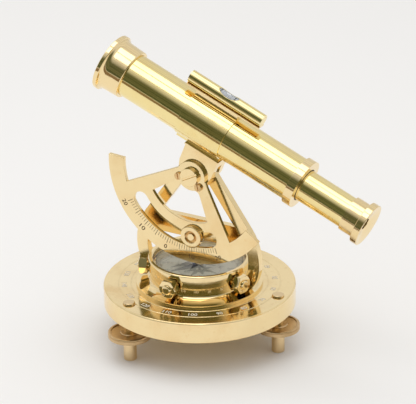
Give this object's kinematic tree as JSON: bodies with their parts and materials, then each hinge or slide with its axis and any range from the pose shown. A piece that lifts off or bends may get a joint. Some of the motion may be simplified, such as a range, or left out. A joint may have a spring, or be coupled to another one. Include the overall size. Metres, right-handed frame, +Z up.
{
  "type": "alidade",
  "caption": "Brass alidade: a telescope with a spirit level and a tilt arc in a fork on a standing frame, over a compass box that swivels on a round base with levelling screws.",
  "frame": {"origin": "on the round base's axis, at the height of the three screws' ends", "axes": "+Z up; +X the way the eyepiece points; -Y the side that the arc and its clamp are on"},
  "size_m": [0.1583, 0.1013, 0.159],
  "materials": {
    "brass": "polished, turned",
    "brass_plate": "polished flat",
    "brass_worn": "satin, dulled",
    "blued_steel": "blued",
    "steel": "bright",
    "dial_card": "matte printed card",
    "glass": "clear",
    "vial_glass": "clear, spirit filled"
  },
  "bodies": {
    "base": {"base_plate": "brass_plate"},
    "stem_1": {"levelling_stem_1": "brass_worn"},
    "stem_2": {"levelling_stem_2": "brass_worn"},
    "stem_3": {"levelling_stem_3": "brass_worn"},
    "wheel_1": {"levelling_wheel_1": "brass_worn"},
    "wheel_2": {"levelling_wheel_2": "brass_worn"},
    "wheel_3": {"levelling_wheel_3": "brass_worn"},
    "turret": {"swivel_bolt": "brass_worn", "swivel_washer": "brass_worn", "swivel_nut": "brass_worn", "compass_box": "brass", "compass_bowl": "brass", "compass_dial": "dial_card", "needle_pin": "steel", "compass_glass": "glass", "bezel_ring": "brass", "box_studs": "brass", "box_nuts": "brass", "frame": "brass_plate", "frame_screws": "brass", "clamp_stud": "brass", "clamp_collar": "brass"},
    "needle": {"compass_needle": "blued_steel", "needle_cap": "brass"},
    "knob": {"clamp_knob": "brass"},
    "telescope": {"pivot_screw": "brass", "pivot_washer": "brass", "pivot_nut": "brass", "fork": "brass_plate", "arc": "brass_plate", "arc_screws": "brass", "saddle_plate": "brass_plate", "saddle_screws": "brass", "clamp_sleeve": "brass", "main_tube": "brass", "objective_cell": "brass", "objective_lens": "glass", "lens_ring": "brass", "tube_end_ring": "brass", "level_post": "brass_plate", "level_rail": "brass_plate", "level_tube": "brass", "level_vial": "vial_glass", "level_plugs": "brass"},
    "draw": {"draw_tube": "brass", "draw_guide": "brass", "eyepiece_cell": "brass", "eyepiece_lens": "glass", "eye_cup": "brass"}
  },
  "joints": [
    {"name": "swivel", "type": "hinge", "parent": "base", "child": "turret", "pos_m": [0, 0, 0.0314], "axis": [0, 0, 1], "continuous": true},
    {"name": "telescope_tilt", "type": "hinge", "parent": "turret", "child": "telescope", "pos_m": [0, 0, 0.0941], "axis": [0, 1, 0], "range_deg": [-58.5, 15.5]},
    {"name": "draw_slide", "type": "slide", "parent": "telescope", "child": "draw", "axis": [0.9247, 0, -0.3806], "range_m": [-0.0265, 0.0095]},
    {"name": "clamp_turn", "type": "hinge", "parent": "turret", "child": "knob", "pos_m": [0.0008, -0.00915, 0.0609], "axis": [0, -1, 0], "range_deg": [0, 360]},
    {"name": "needle_spin", "type": "hinge", "parent": "turret", "child": "needle", "pos_m": [0, 0, 0.041], "axis": [0, 0, 1], "continuous": true},
    {"name": "levelling_slide_1", "type": "slide", "parent": "base", "child": "stem_1", "axis": [0, 0, 1], "range_m": [-0.00701, 0.00401]},
    {"name": "levelling_turn_1", "type": "hinge", "parent": "stem_1", "child": "wheel_1", "pos_m": [0.04416, 0.00355, 0.01425], "axis": [0, 0, 1], "range_deg": [-2520, 1440]},
    {"name": "levelling_slide_2", "type": "slide", "parent": "base", "child": "stem_2", "axis": [0, 0, 1], "range_m": [-0.00701, 0.00401]},
    {"name": "levelling_turn_2", "type": "hinge", "parent": "stem_2", "child": "wheel_2", "pos_m": [-0.02516, 0.03646, 0.01425], "axis": [0, 0, 1], "range_deg": [-2520, 1440]},
    {"name": "levelling_slide_3", "type": "slide", "parent": "base", "child": "stem_3", "axis": [0, 0, 1], "range_m": [-0.00701, 0.00401]},
    {"name": "levelling_turn_3", "type": "hinge", "parent": "stem_3", "child": "wheel_3", "pos_m": [-0.019, -0.04002, 0.01425], "axis": [0, 0, 1], "range_deg": [-2520, 1440]}
  ],
  "couplings": [
    {"joint": "levelling_slide_1", "follows": "levelling_turn_1", "m_per_rad": 0.00015915},
    {"joint": "levelling_slide_2", "follows": "levelling_turn_2", "m_per_rad": 0.00015915},
    {"joint": "levelling_slide_3", "follows": "levelling_turn_3", "m_per_rad": 0.00015915}
  ]
}
